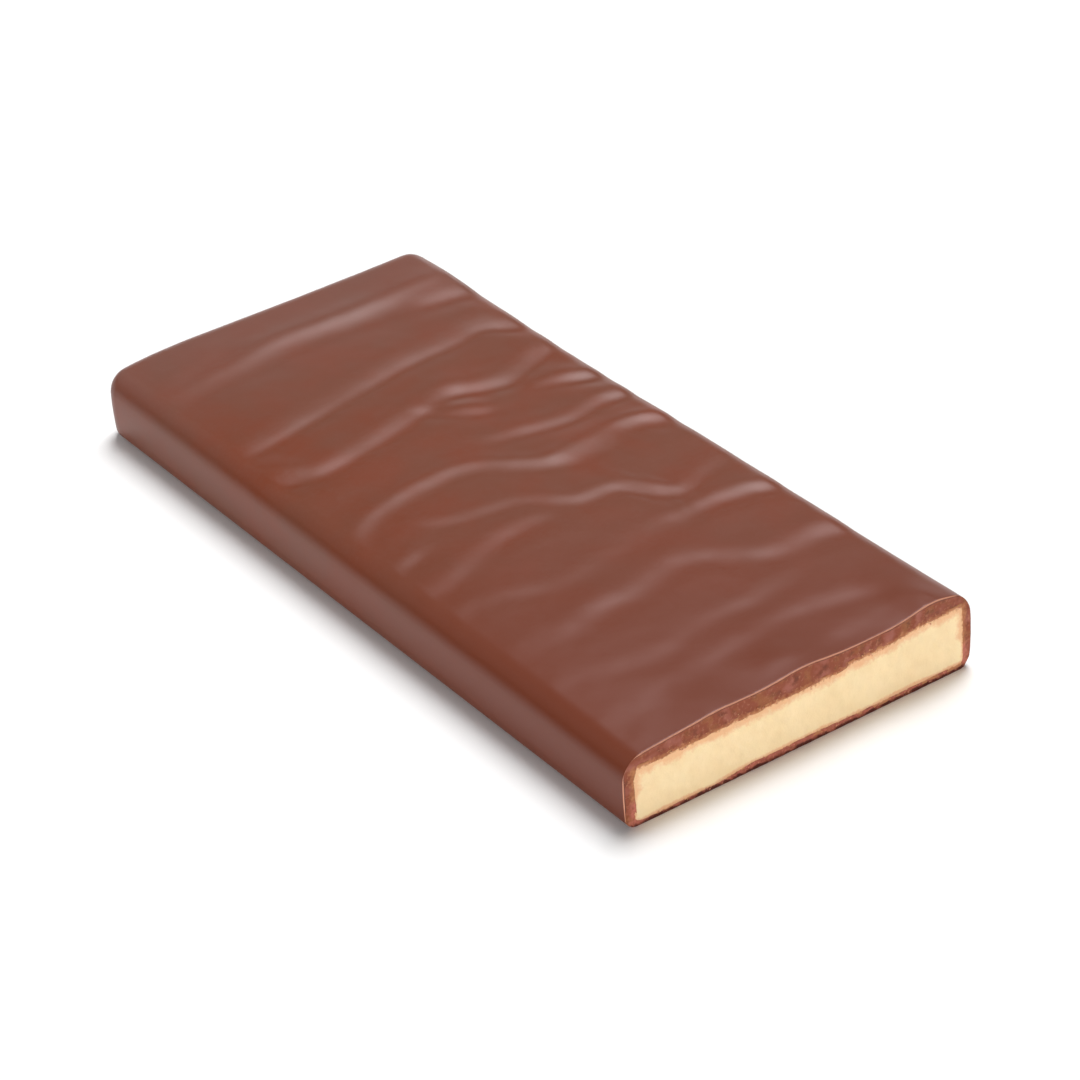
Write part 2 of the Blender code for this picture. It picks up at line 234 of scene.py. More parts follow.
@dataclass(frozen=True)
class BarForm:
    """The sizes of the bar and the rules of its rippled top, as on its solids."""

    length: float = 125.5 * MM
    width: float = 55.0 * MM
    height: float = 11.1 * MM
    top_rounding: float = 2.8 * MM
    bottom_rounding: float = 1.4 * MM
    corner_radius: float = 3.2 * MM
    back_skew: float = math.radians(0.3)
    side_bulge: float = 0.25 * MM
    fade_start: float = 0.30
    fade_end: float = 0.85
    roll_start: float = 13.0 * MM
    roll_fall: float = 1.1 * MM
    fold_drop: float = 0.21 * MM
    fold_turn: float = 0.8
    edge_calm_start: float = 22.0 * MM
    edge_calm: float = 0.85

    def fold_rise(self, x: np.ndarray, y: np.ndarray) -> np.ndarray:
        """Add up the ripples.

        Args:
            x: Places along the bar, in metres.
            y: Places across the bar, in metres.

        Returns:
            The height of all the ripples at each place, in metres.
        """
        along, across = x / MM, y / MM
        rise = np.zeros_like(along)
        for fold in FOLDS:
            line, slope, strength = fold.follow(across)
            offset = (along - line) / np.hypot(1.0, slope)
            crest = 1.0 / (1.0 + np.exp(np.clip(offset / self.fold_turn, -30.0, 30.0)))
            t = offset / (fold.hollow_width + (fold.crest_width - fold.hollow_width) * crest)
            rise -= strength * t * np.exp(0.5 * (1.0 - t * t))
        calm = self.edge_calm * smoothstep(self.edge_calm_start, self.width / 2, np.abs(y))
        return rise * self.fold_drop * (1.0 - calm)

    def swell_rise(self, x: np.ndarray, y: np.ndarray) -> np.ndarray:
        """Add up the broad swells and sags, for places and with a result in metres."""
        rise = np.zeros_like(x)
        for swell in SWELLS:
            u = (x / MM - swell.along) / swell.reach_along
            v = (y / MM - swell.across) / swell.reach_across
            rise += swell.rise * np.exp(-0.5 * (u * u + v * v))
        return rise * MM

    def top_rise(self, x: np.ndarray, y: np.ndarray) -> np.ndarray:
        """Give the finished top's height over the flat one, in metres."""
        roll = np.maximum(-y - self.roll_start, 0.0) / (self.width / 2 - self.roll_start)
        return self.fold_rise(x, y) + self.swell_rise(x, y) - self.roll_fall * roll * roll

    def place(self, points: np.ndarray) -> np.ndarray:
        """Move points of the straight slab to their places on the bar.

        Args:
            points: Points of the slab, one per row.

        Returns:
            The points with the rippled top, the full sides, the skewed back end and the
            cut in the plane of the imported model's cut.
        """
        x, y, z = points.T
        share = smoothstep(self.fade_start, self.fade_end, z / self.height)
        rise = share * self.top_rise(x, y)
        back = 0.5 - x / self.length
        middle = 4.0 * (z / self.height) * (1.0 - z / self.height)
        side = smoothstep(0.8, 1.0, np.abs(y) / (self.width / 2)) * np.sign(y)
        cut = CAD_BOX[1][0] - self.length / 2
        return np.stack([x - math.tan(self.back_skew) * y * back + cut,
                         y + side * self.side_bulge * (middle - 1.0),
                         z + rise], axis=1)


FORM = BarForm()
CUT_X = CAD_BOX[1][0]


# Colour and nodes


def linear(code: str) -> tuple[float, float, float, float]:
    """Turn an sRGB hex colour into linear RGBA.

    Args:
        code: Six hex digits after a hash sign.

    Returns:
        The colour as Blender's sockets take it.
    """
    parts = [int(code[i:i + 2], 16) / 255.0 for i in (1, 3, 5)]
    return (*(c / 12.92 if c <= 0.04045 else ((c + 0.055) / 1.055) ** 2.4 for c in parts), 1.0)


def add_node(tree: bpy.types.NodeTree, kind: str, settings: dict | None = None,
             links: dict | None = None) -> bpy.types.Node:
    """Add a node with its settings and its incoming links.

    Args:
        tree: The node tree.
        kind: The node's type, such as ShaderNodeTexNoise.
        settings: Values by property name, or by input socket name or number.
        links: Output sockets by input socket name or number.

    Returns:
        The new node.
    """
    node = tree.nodes.new(kind)
    for name, value in (settings or {}).items():
        if isinstance(name, str) and hasattr(node, name):
            setattr(node, name, value)
        else:
            node.inputs[name].default_value = value
    for name, socket in (links or {}).items():
        tree.links.new(socket, node.inputs[name])
    return node


class Surface(Enum):
    """The finishes of the bar and the floor, by the name of their material."""

    COATING = "enrobed_milk_chocolate"
    CUT_COATING = "sliced_milk_chocolate"
    FILLING = "pale_cream_filling"
    FLOOR = "studio_floor"


def new_material(surface: Surface) -> tuple[bpy.types.Material, bpy.types.Node]:
    """Start a material with a bare Principled shader.

    Args:
        surface: The finish.

    Returns:
        The material and its shader node.
    """
    material = bpy.data.materials.new(surface.value)
    material.use_nodes = True
    tree = material.node_tree
    tree.nodes.clear()
    shader = add_node(tree, "ShaderNodeBsdfPrincipled")
    add_node(tree, "ShaderNodeOutputMaterial", links={"Surface": shader.outputs["BSDF"]})
    return material, shader


def mix_colours(tree: bpy.types.NodeTree, factor: bpy.types.NodeSocket,
                first: bpy.types.NodeSocket | str,
                second: bpy.types.NodeSocket | str) -> bpy.types.NodeSocket:
    """Mix towards a second colour.

    Args:
        tree: The node tree.
        factor: How much of the second colour shows.
        first: The first colour, as a socket or a hex code.
        second: The second colour, as a socket or a hex code.

    Returns:
        The mixed colour's socket.
    """
    node = add_node(tree, "ShaderNodeMix", {"data_type": "RGBA"}, {"Factor": factor})
    for number, colour in ((MIX_FIRST, first), (MIX_SECOND, second)):
        if isinstance(colour, str):
            node.inputs[number].default_value = linear(colour)
        else:
            tree.links.new(colour, node.inputs[number])
    return node.outputs[MIX_RESULT]


def add_noise(tree: bpy.types.NodeTree, coords: bpy.types.NodeSocket, size: float,
              detail: float = 2.0, roughness: float = 0.5) -> bpy.types.NodeSocket:
    """Add a noise texture.

    Args:
        tree: The node tree.
        coords: The socket that gives the place.
        size: The size of its largest lumps, in metres.
        detail: How many finer layers it has.
        roughness: How strong each finer layer is.

    Returns:
        The noise's socket, from 0 to 1 and mostly near 0.5.
    """
    texture = add_node(tree, "ShaderNodeTexNoise",
                       {"Scale": 1.0 / size, "Detail": detail, "Roughness": roughness},
                       {"Vector": coords})
    return texture.outputs["Fac"]


def ramp(tree: bpy.types.NodeTree, value: bpy.types.NodeSocket, start: float, end: float,
         low: float = 0.0, high: float = 1.0, smooth: bool = False) -> bpy.types.NodeSocket:
    """Add a ramp that is level before its start and after its end.

    Args:
        tree: The node tree.
        value: The socket that runs along the ramp.
        start: The value where the ramp starts.
        end: The value where it ends, which may be the lesser of the two.
        low: What it gives at its start.
        high: What it gives at its end.
        smooth: Whether it bends softly into the level parts.

    Returns:
        The ramp's socket.
    """
    settings = {"interpolation_type": "SMOOTHSTEP" if smooth else "LINEAR",
                1: start, 2: end, 3: low, 4: high}
    return add_node(tree, "ShaderNodeMapRange", settings, {0: value}).outputs[0]


def add_scaled(tree: bpy.types.NodeTree, base: bpy.types.NodeSocket,
               value: bpy.types.NodeSocket, factor: float) -> bpy.types.NodeSocket:
    """Add a multiple of one value to another and give the sum's socket."""
    return add_node(tree, "ShaderNodeMath", {"operation": "MULTIPLY_ADD", 1: factor},
                    {0: value, 2: base}).outputs[0]


def add_bump(tree: bpy.types.NodeTree, shader: bpy.types.Node, height: bpy.types.NodeSocket,
             strength: float, depth: float) -> None:
    """Give a shader the fine relief of a pattern, with its depth in metres."""
    bump = add_node(tree, "ShaderNodeBump", {"Strength": strength, "Distance": depth},
                    {"Height": height})
    tree.links.new(bump.outputs[0], shader.inputs["Normal"])


def read_mask(tree: bpy.types.NodeTree, name: str) -> bpy.types.NodeSocket:
    """Read the number per point that write_mask stored under a name."""
    return add_node(tree, "ShaderNodeAttribute", {"attribute_name": name}).outputs["Fac"]


@dataclass(frozen=True)
class EnrobedChocolate:
    """Milk chocolate as it sets after enrobing: satin, with a faint cloudy mottling.

    Cocoa butter sets as fine crystals, so the gloss is broad and soft. Colour wanders a
    little over 8 mm and over half a millimetre. The top is greyed towards the back end by
    painted sheen, and its brown is deepened towards the cut and the near side by painted
    shade. The skin's last few tenths of a millimetre at the cut are paler: a painted
    highlight along the cut's edge.
    """

    brown: str = "#70381F"
    warm_brown: str = "#753314"
    # Painted sheen that greys the top towards the back end
    cloud: str = "#75402D"
    painted_sheen: str = "#77534A"
    # Painted shade that deepens the brown towards the cut and the near side
    painted_shade_brown: str = "#6D2F14"
    # Painted highlight along the cut's edge
    rim: str = "#D39478"
    roughness: float = 0.37
    specular: float = 0.37
    sheen: str = "#FFF0F4"
    patch_size: float = 8.0 * MM
    mottle_size: float = 0.7 * MM
    haze: float = 0.45
    skin_size: float = 0.45 * MM
    skin_depth: float = 0.03 * MM
    # Width of the painted highlight on the skin at the cut
    rim_width: float = 0.30 * MM
    painted_sheen_along: tuple[float, float] = (-20.0 * MM, -100.0 * MM)
    painted_sheen_height: tuple[float, float] = (7.0 * MM, 10.0 * MM)
    painted_shade_along: tuple[float, float] = (-5.0 * MM, 65.0 * MM)
    painted_shade_slant: float = -0.6

    def material(self) -> bpy.types.Material:
        """Build the node material."""
        material, shader = new_material(Surface.COATING)
        tree = material.node_tree
        coords = add_node(tree, "ShaderNodeTexCoord").outputs["Object"]
        patches = add_noise(tree, coords, self.patch_size)
        mottle = add_noise(tree, coords, self.mottle_size, detail=3.0, roughness=0.6)
        colour = mix_colours(tree, ramp(tree, patches, 0.38, 0.66), self.brown, self.warm_brown)
        haze = ramp(tree, mottle, 0.45, 0.8, high=self.haze)
        colour = mix_colours(tree, haze, colour, self.cloud)
        place = add_node(tree, "ShaderNodeSeparateXYZ", links={0: coords})
        colour = self._age(tree, colour, place)
        # Painted highlight: the skin's last few tenths of a millimetre at the cut turn pale
        rim = ramp(tree, place.outputs["X"], CUT_X - self.rim_width,
                   CUT_X - 0.6 * self.rim_width, smooth=True)
        colour = mix_colours(tree, rim, colour, self.rim)
        tree.links.new(colour, shader.inputs["Base Color"])
        gloss = ramp(tree, mottle, 0.3, 0.7, self.roughness - 0.01, self.roughness + 0.015)
        tree.links.new(gloss, shader.inputs["Roughness"])
        skin = add_noise(tree, coords, self.skin_size)
        add_bump(tree, shader, skin, 0.12, self.skin_depth)
        shader.inputs["Specular IOR Level"].default_value = self.specular
        shader.inputs["Specular Tint"].default_value = linear(self.sheen)
        return material

    def _age(self, tree: bpy.types.NodeTree, colour: bpy.types.NodeSocket,
             place: bpy.types.Node) -> bpy.types.NodeSocket:
        """Paint sheen on the top towards the back end and shade towards the cut and near side.

        Args:
            tree: The node tree.
            colour: The colour so far.
            place: The node that gives each coordinate.

        Returns:
            The colour's socket, with the painted sheen and shade.
        """
        # Painted sheen: the top greys towards the back end, from 7 mm to 10 mm of height up
        back = ramp(tree, place.outputs["X"], *self.painted_sheen_along, smooth=True)
        level = ramp(tree, place.outputs["Z"], *self.painted_sheen_height)
        painted_sheen_share = add_node(tree, "ShaderNodeMath", {"operation": "MULTIPLY"}, {0: back, 1: level})
        colour = mix_colours(tree, painted_sheen_share.outputs[0], colour, self.painted_sheen)
        # Painted shade: the brown deepens towards the cut and the near side
        slant = add_scaled(tree, place.outputs["X"], place.outputs["Y"], self.painted_shade_slant)
        front = ramp(tree, slant, *self.painted_shade_along, smooth=True)
        return mix_colours(tree, front, colour, self.painted_shade_brown)


@dataclass(frozen=True)
class SlicedChocolate:
    """Milk chocolate where a knife went through it: dull, torn and flecked.

    The blade draws up a rim along the skin, which is paler with a painted highlight and has
    a painted shadow line just inside it, and smears and tears the rest, with golden and
    rosy stains over a few millimetres, dark pits, and pale broken flecks a few tenths of a
    millimetre across. Next to the filling, paste rubbed into it turns it golden; low down
    this band is pink with painted light bounced from the floor, and the foot of the cut is
    darkened with painted contact shadow, broken up in patches.
    """

    brown: str = "#8A452D"
    pit: str = "#693323"
    fleck: str = "#AA6E54"
    # Painted shadow just inside the rim
    rim_shadow: str = "#6A3524"
    golden: str = "#B8794E"
    # Painted light bounced from the floor, low down beside the filling
    pink: str = "#C87462"
    warm: str = "#9C6237"
    rose: str = "#A05E50"
    # Painted contact shadow at the foot of the cut
    foot_shadow: str = "#4A1D14"
    roughness: float = 0.6
    specular: float = 0.3
    tear_size: float = 1.3 * MM
    tear_depth: float = 0.12 * MM
    stain_size: float = 2.6 * MM
    fleck_size: float = 0.5 * MM
    # Widths of the painted highlight and the painted shadow line along the rim
    rim_highlight_line: float = 0.17 * MM
    rim_shadow_line: float = 0.42 * MM
    rubbed_width: float = 1.1 * MM
    # Heights where the golden paste stain turns to pink painted bounce light
    pink_height: tuple[float, float] = (4.0 * MM, 3.0 * MM)
    # Height of the painted contact shadow at the foot of the cut
    foot: float = 0.7 * MM

    def material(self) -> bpy.types.Material:
        """Build the node material."""
        material, shader = new_material(Surface.CUT_COATING)
        tree = material.node_tree
        coords = add_node(tree, "ShaderNodeTexCoord").outputs["Object"]
        height = add_node(tree, "ShaderNodeSeparateXYZ", links={0: coords}).outputs["Z"]
        tears = add_noise(tree, coords, self.tear_size, detail=3.0, roughness=0.6)
        stains = add_noise(tree, coords, self.stain_size, roughness=0.6)
        flecks = add_noise(tree, coords, self.fleck_size, detail=3.0, roughness=0.6)
        colour: bpy.types.NodeSocket | str = self.brown
        for pattern, start, end, strength, tint in (
                (stains, 0.53, 0.68, 0.8, self.warm), (stains, 0.47, 0.32, 0.8, self.rose),
                (tears, 0.52, 0.72, 0.85, self.pit), (flecks, 0.56, 0.7, 0.75, self.fleck)):
            share = ramp(tree, pattern, start, end, high=strength)
            colour = mix_colours(tree, share, colour, tint)
        colour = self._stain_and_paint_foot_light(tree, colour, height, flecks, tears)
        depth = read_mask(tree, SKIN_DEPTH)
        # Painted shadow: a dark line just inside the rim
        under = ramp(tree, depth, self.rim_shadow_line, 0.6 * self.rim_shadow_line, high=0.85, smooth=True)
        colour = mix_colours(tree, under, colour, self.rim_shadow)
        # Painted highlight: a pale line along the skin's edge of the cut
        rim = ramp(tree, depth, self.rim_highlight_line, 0.6 * self.rim_highlight_line, smooth=True)
        colour = mix_colours(tree, rim, colour, EnrobedChocolate.rim)
        tree.links.new(colour, shader.inputs["Base Color"])
        add_bump(tree, shader, tears, 0.5, self.tear_depth)
        shader.inputs["Roughness"].default_value = self.roughness
        shader.inputs["Specular IOR Level"].default_value = self.specular
        return material

    def _stain_and_paint_foot_light(self, tree: bpy.types.NodeTree, colour: bpy.types.NodeSocket,
             height: bpy.types.NodeSocket, speckle: bpy.types.NodeSocket,
             patch: bpy.types.NodeSocket) -> bpy.types.NodeSocket:
        """Stain the chocolate by the filling, paint bounce light low down and shadow at the foot.

        Args:
            tree: The node tree.
            colour: The colour so far.
            height: The height over the table.
            speckle: A fine noise that breaks up the tint beside the filling.
            patch: A coarser noise that breaks up the painted shadow at the foot.

        Returns:
            The tinted colour's socket.
        """
        width, foot = self.rubbed_width, self.foot
        shaken = add_scaled(tree, read_mask(tree, PASTE_GAP), speckle, -1.6 * width)
        near = ramp(tree, shaken, -0.2 * width, -1.0 * width, high=0.9)
        # Low down the golden paste stain turns pink: painted light bounced from the floor
        low = ramp(tree, height, *self.pink_height)
        tint = mix_colours(tree, low, self.golden, self.pink)
        colour = mix_colours(tree, near, colour, tint)
        # Painted contact shadow: the foot of the cut turns dark, broken up in patches
        shaken_height = add_scaled(tree, height, patch, 2.0 * foot)
        crumbs = ramp(tree, shaken_height, 1.5 * foot, 1.2 * foot, high=0.92)
        return mix_colours(tree, crumbs, colour, self.foot_shadow)


@dataclass(frozen=True)
class CreamFilling:
    """Pale, fine-grained sweet paste, cut cleanly: matt, slightly translucent.

    Its grains are a few tenths of a millimetre. Towards the coating it turns peach over a
    millimetre, more in some places than in others, and the last of it is brown with
    chocolate, in grains rather than a wash.
    """

    pale: str = "#F9DFB2"
    deep: str = "#F3D7A8"
    peach: str = "#EAB185"
    smear: str = "#B9754F"
    roughness: float = 0.75
    specular: float = 0.25
    patch_size: float = 4.0 * MM
    grain_size: float = 0.4 * MM
    grain_depth: float = 0.08 * MM
    peach_width: float = 0.9 * MM
    peach_wander: float = 2.4 * MM
    smear_width: float = 0.30 * MM
    glow: float = 0.2
    glow_reach: tuple[float, float, float] = (1.0, 0.7, 0.4)
    glow_depth: float = 0.6 * MM

    def material(self) -> bpy.types.Material:
        """Build the node material."""
        material, shader = new_material(Surface.FILLING)
        tree = material.node_tree
        coords = add_node(tree, "ShaderNodeTexCoord").outputs["Object"]
        patches = add_noise(tree, coords, self.patch_size, detail=4.0, roughness=0.6)
        grains = add_noise(tree, coords, self.grain_size, roughness=0.6)
        colour = mix_colours(tree, ramp(tree, patches, 0.4, 0.7), self.pale, self.deep)
        smear, wander = self.smear_width, 0.5 * self.peach_wander
        shaken = add_scaled(tree, read_mask(tree, PASTE_GAP), grains, 4.0 * smear)
        wandering = add_scaled(tree, shaken, patches, self.peach_wander)
        for gap, near, far, strength, tint in (
                (wandering, -wander, self.peach_width - wander, 0.8, self.peach),
                (shaken, -2.3 * smear, -1.2 * smear, 0.85, self.smear)):
            stain = ramp(tree, gap, -far, -near, high=strength)
            colour = mix_colours(tree, stain, colour, tint)
        tree.links.new(colour, shader.inputs["Base Color"])
        add_bump(tree, shader, grains, 0.35, self.grain_depth)
        shader.inputs["Roughness"].default_value = self.roughness
        shader.inputs["Specular IOR Level"].default_value = self.specular
        shader.inputs["Subsurface Weight"].default_value = self.glow
        shader.inputs["Subsurface Radius"].default_value = self.glow_reach
        shader.inputs["Subsurface Scale"].default_value = self.glow_depth
        return material


@dataclass(frozen=True)
class PaperFloor:
    """A sheet of matt white paper, lit evenly."""

    white: str = "#FBFBFB"
    roughness: float = 0.9
    specular: float = 0.1
    fibre_size: float = 3.0 * MM
    fibre_depth: float = 0.01 * MM

    def material(self) -> bpy.types.Material:
        """Build the node material."""
        material, shader = new_material(Surface.FLOOR)
        tree = material.node_tree
        shader.inputs["Base Color"].default_value = linear(self.white)
        shader.inputs["Roughness"].default_value = self.roughness
        shader.inputs["Specular IOR Level"].default_value = self.specular
        coords = add_node(tree, "ShaderNodeTexCoord").outputs["Object"]
        fibres = add_noise(tree, coords, self.fibre_size)
        add_bump(tree, shader, fibres, 0.02, self.fibre_depth)
        return material


# Modelling in edit mode


def add_box(name: str, low: tuple[float, float, float],
            high: tuple[float, float, float]) -> bpy.types.Object:
    """Add a box primitive between two corners, with its place in its mesh.

    Args:
        name: The object's name.
        low: Its lowest corner.
        high: Its highest corner.

    Returns:
        The box, active and the only object selected.
    """
    bpy.ops.object.select_all(action="DESELECT")
    size = [b - a for a, b in zip(low, high)]
    centre = [(a + b) / 2 for a, b in zip(low, high)]
    bpy.ops.mesh.primitive_cube_add(size=1.0, location=centre)
    box = bpy.context.object
    box.name = name
    box.data.name = name
    box.scale = size
    bpy.ops.object.transform_apply(location=True, rotation=True, scale=True)
    return box


def select_edges(obj: bpy.types.Object, test: Callable[[Vector, Vector], bool]) -> None:
    """Select in edit mode only the edges that pass a test.

    Args:
        obj: The object in edit mode.
        test: Says of an edge's two ends whether the edge is wanted.
    """
    bpy.ops.mesh.select_mode(type="EDGE")
    bpy.ops.mesh.select_all(action="DESELECT")
    bm = bmesh.from_edit_mesh(obj.data)
    for edge in bm.edges:
        if test(edge.verts[0].co, edge.verts[1].co):
            edge.select_set(True)
    bm.select_flush_mode()
    bmesh.update_edit_mesh(obj.data)


def select_plane(obj: bpy.types.Object, x: float, largest: bool = False) -> None:
    """Select in edit mode only the faces in one upright plane across the bar.

    Args:
        obj: The object in edit mode.
        x: Where the plane stands.
        largest: Whether only the largest of the faces is wanted.
    """
    bpy.ops.mesh.select_mode(type="FACE")
    bpy.ops.mesh.select_all(action="DESELECT")
    bm = bmesh.from_edit_mesh(obj.data)
    faces = [face for face in bm.faces if all(abs(v.co.x - x) < TOUCH for v in face.verts)]
    if largest:
        faces = [max(faces, key=lambda face: face.calc_area())]
    for face in faces:
        face.select_set(True)
    bm.select_flush_mode()
    bmesh.update_edit_mesh(obj.data)


def read_points(mesh: bpy.types.Mesh) -> np.ndarray:
    """Read a mesh's points, one per row."""
    points = np.empty(len(mesh.vertices) * 3)
    mesh.vertices.foreach_get("co", points)
    return points.reshape(-1, 3)


def write_points(mesh: bpy.types.Mesh, points: np.ndarray) -> None:
    """Write a mesh's points back."""
    mesh.vertices.foreach_set("co", points.ravel())
    mesh.update()


def write_mask(mesh: bpy.types.Mesh, name: str, values: np.ndarray) -> None:
    """Store one number per point as an attribute that a material reads."""
    layer = mesh.attributes.get(name) or mesh.attributes.new(name, "FLOAT", "POINT")
    layer.data.foreach_set("value", np.asarray(values, np.float32))


@dataclass
class CutLine:
    """The line on the cut where the filling meets the coating.

    Heights and places are in mm over the table and from the middle of the bar. The line
    is straight in the large and ragged in the small, where the paste tore the chocolate.
    """

    near: float = -25.95
    far: float = 26.4
    bottom: float = 0.36
    bottom_rise: float = 0.55
    top: float = 8.15
    step: float = 0.55
    far_lift: float = 0.60
    near_foot: float = 0.45
    corner_share: float = 0.8
    rag: float = 0.22
    rag_size: float = 1.6 * MM

    def top_at(self, across: np.ndarray) -> np.ndarray:
        """Give the height of the filling's top at places across the bar, all in mm."""
        return (self.top + self.step * smoothstep(5.5, 8.5, across)
                + self.far_lift * smoothstep(13.0, 20.0, across))

    def bottom_at(self, across: np.ndarray) -> np.ndarray:
        """Give the height of the filling's underside at places across the bar, all in mm."""
        return (self.bottom + self.bottom_rise * smoothstep(-14.0, -7.0, across)
                - 0.4 * self.bottom_rise * smoothstep(2.0, 10.0, across))

    def inner_place(self, y: np.ndarray, z: np.ndarray) -> np.ndarray:
        """Carry points of the coating's outline to the line of the filling.

        Args:
            y: Places across the bar, in metres.
            z: Heights, in metres.

        Returns:
            The points on the line, as rows of place across and height.
        """
        u = y / (FORM.width / 2)
        v = 2.0 * z / FORM.height - 1.0
        largest = np.maximum(np.maximum(np.abs(u), np.abs(v)), 0.01)
        push = 1.0 + self.corner_share * (1.0 / largest - 1.0)
        u, v = np.clip(u * push, -1.0, 1.0), np.clip(v * push, -1.0, 1.0)
        near = self.near + self.near_foot * (0.5 - 0.5 * v)
        across = near + (self.far - near) * (0.5 + 0.5 * u)
        low = self.bottom_at(across)
        height = low + (self.top_at(across) - low) * (0.5 + 0.5 * v)
        flat = np.stack([np.zeros_like(across), across, height], axis=1) * MM
        tear = grain(flat, self.rag_size, octaves=2, seed=3.0)
        calm = 0.35 + 0.65 * smoothstep(0.3, 0.8, v)
        shift = self.rag * tear * calm
        over = np.abs(v) >= np.abs(u)
        height += np.where(over, shift * np.sign(v), 0.0)
        across += np.where(over, 0.0, 0.6 * shift * np.sign(u))
        return np.stack([across, height], axis=1) * MM

    def paste_gap(self, points: np.ndarray) -> np.ndarray:
        """Measure how far points of the cut lie from the filling's line.

        Args:
            points: The points, one per row, in metres.

        Returns:
            The distances in metres, less than 0 within the filling.
        """
        across, height = points[:, 1] / MM, points[:, 2] / MM
        sides = np.maximum(self.near - across, across - self.far)
        levels = np.maximum(height - self.top_at(across), self.bottom_at(across) - height)
        return np.maximum(sides, levels) * MM


@dataclass
class Coating:
    """The chocolate all round, with its rippled skin and the torn face of the cut."""

    line: CutLine
    along_cuts: tuple[int, int] = (99, 2)
    across_cuts: tuple[int, int] = (79, 1)
    side_cuts: int = 5
    top_segments: int = 8
    bottom_segments: int = 4
    corner_segments: int = 6
    radial_cuts: int = 12
    back_slack: float = 0.3 * MM
    least_split: float = 0.001 * MM
    first_inset: float = 0.05 * MM
    hollow_depth: float = 123.4 * MM
    recess: float = 0.22 * MM
    rim_width: float = 0.26 * MM
    rim_wave: float = 0.06 * MM
    rim_wave_size: float = 0.7 * MM
    tear_depth: float = 0.16 * MM
    tear_size: float = 1.6 * MM
    fray: float = 0.10 * MM
    fray_size: float = 2.4 * MM
    # Where the painted rim highlight and shadow line fade out: at the foot and the far side
    rimless_foot: tuple[float, float] = (2.0 * MM, 0.8 * MM)
    rimless_side: tuple[float, float] = (25.8 * MM, 27.0 * MM)
    widened_foot: tuple[float, float] = (4.0 * MM, 3.0 * MM)
    wander: float = 0.035 * MM
    wander_size: float = 5.0 * MM
    finish: EnrobedChocolate = field(default_factory=EnrobedChocolate)
    cut_finish: SlicedChocolate = field(default_factory=SlicedChocolate)

    def build(self) -> bpy.types.Object:
        """Model the coating.

        Returns:
            The finished piece, dressed.
        """
        form = FORM
        low = (-form.length / 2, -form.width / 2, 0.0)
        high = (form.length / 2, form.width / 2, form.height)
        piece = add_box("chocolate_skin", low, high)
        bpy.ops.object.mode_set(mode="EDIT")
        self._round(piece, form)
        self._divide(piece, form)
        bpy.ops.object.mode_set(mode="OBJECT")
        points = form.place(read_points(piece.data))
        points[:, 2] += self._wander(points)
        points[:, 2] = np.clip(points[:, 2], 0.0, CAD_BOX[1][2])
        write_points(piece.data, points)
        bpy.ops.object.mode_set(mode="EDIT")
        self._open_cut(piece)
        bpy.ops.object.mode_set(mode="OBJECT")
        self._tear(piece)
        self._dress(piece)
        return piece

    def _round(self, piece: bpy.types.Object, form: BarForm) -> None:
        """Round the back corners, the top edge and the bottom edge of the slab."""
        half = form.length / 2

        def upright(a: Vector, b: Vector) -> bool:
            """Choose the two upright edges of the back end."""
            return a.x < 0.0 and b.x < 0.0 and abs(a.z - b.z) > 0.5 * form.height

        def level(z: float) -> Callable[[Vector, Vector], bool]:
            """Choose the level edges at one height, without the one at the cut."""
            return lambda a, b: (
                abs(a.z - z) < TOUCH and abs(b.z - z) < TOUCH
                and not (abs(a.x - half) < TOUCH and abs(b.x - half) < TOUCH))

        for test, radius, segments in (
                (upright, form.corner_radius, self.corner_segments),
                (level(form.height), form.top_rounding, self.top_segments),
                (level(0.0), form.bottom_rounding, self.bottom_segments)):
            select_edges(piece, test)
            bpy.ops.mesh.bevel(offset=radius, segments=segments, profile=0.5, affect="EDGES")

    def _divide(self, piece: bpy.types.Object, form: BarForm) -> None:
        """Cut the slab into the fine squares that carry the ripples."""
        back = -form.length / 2 + form.corner_radius
        side = form.width / 2 - form.corner_radius
        for centre, normal in (((back, 0, 0), (1, 0, 0)), ((0, side, 0), (0, 1, 0)),
                               ((0, -side, 0), (0, 1, 0))):
            bpy.ops.mesh.select_all(action="SELECT")
            bpy.ops.mesh.bisect(plane_co=centre, plane_no=normal, threshold=self.least_split)
        stride = form.length / 2 - back
        for cuts in self.along_cuts:
            least = 0.9 * stride
            select_edges(piece, lambda a, b: abs(a.x - b.x) > least
                         and min(a.x, b.x) > back - self.back_slack)
            bpy.ops.mesh.subdivide(number_cuts=cuts)
            stride /= cuts + 1
        reach = 2.0 * side
        for cuts in self.across_cuts:
            least = 0.9 * reach
            front = form.length / 2 - TOUCH
            select_edges(piece, lambda a, b: abs(a.y - b.y) > least
                         and max(abs(a.y), abs(b.y)) < side + TOUCH
                         and not (a.z < TOUCH and b.z < TOUCH and back < a.x < front))
            bpy.ops.mesh.subdivide(number_cuts=cuts)
            reach /= cuts + 1
        tall = 0.9 * (form.height - form.top_rounding - form.bottom_rounding)
        select_edges(piece, lambda a, b: abs(a.z - b.z) > tall)
        bpy.ops.mesh.subdivide(number_cuts=self.side_cuts)
        select_plane(piece, form.length / 2)
        bpy.ops.mesh.dissolve_faces()

    def _wander(self, points: np.ndarray) -> np.ndarray:
        """Give the small unevenness of the skin between the ripples, in metres."""
        share = smoothstep(0.3, 0.8, points[:, 2] / FORM.height)
        uneven = grain(points, self.wander_size, octaves=2, seed=8.0)
        return self.wander * uneven * share

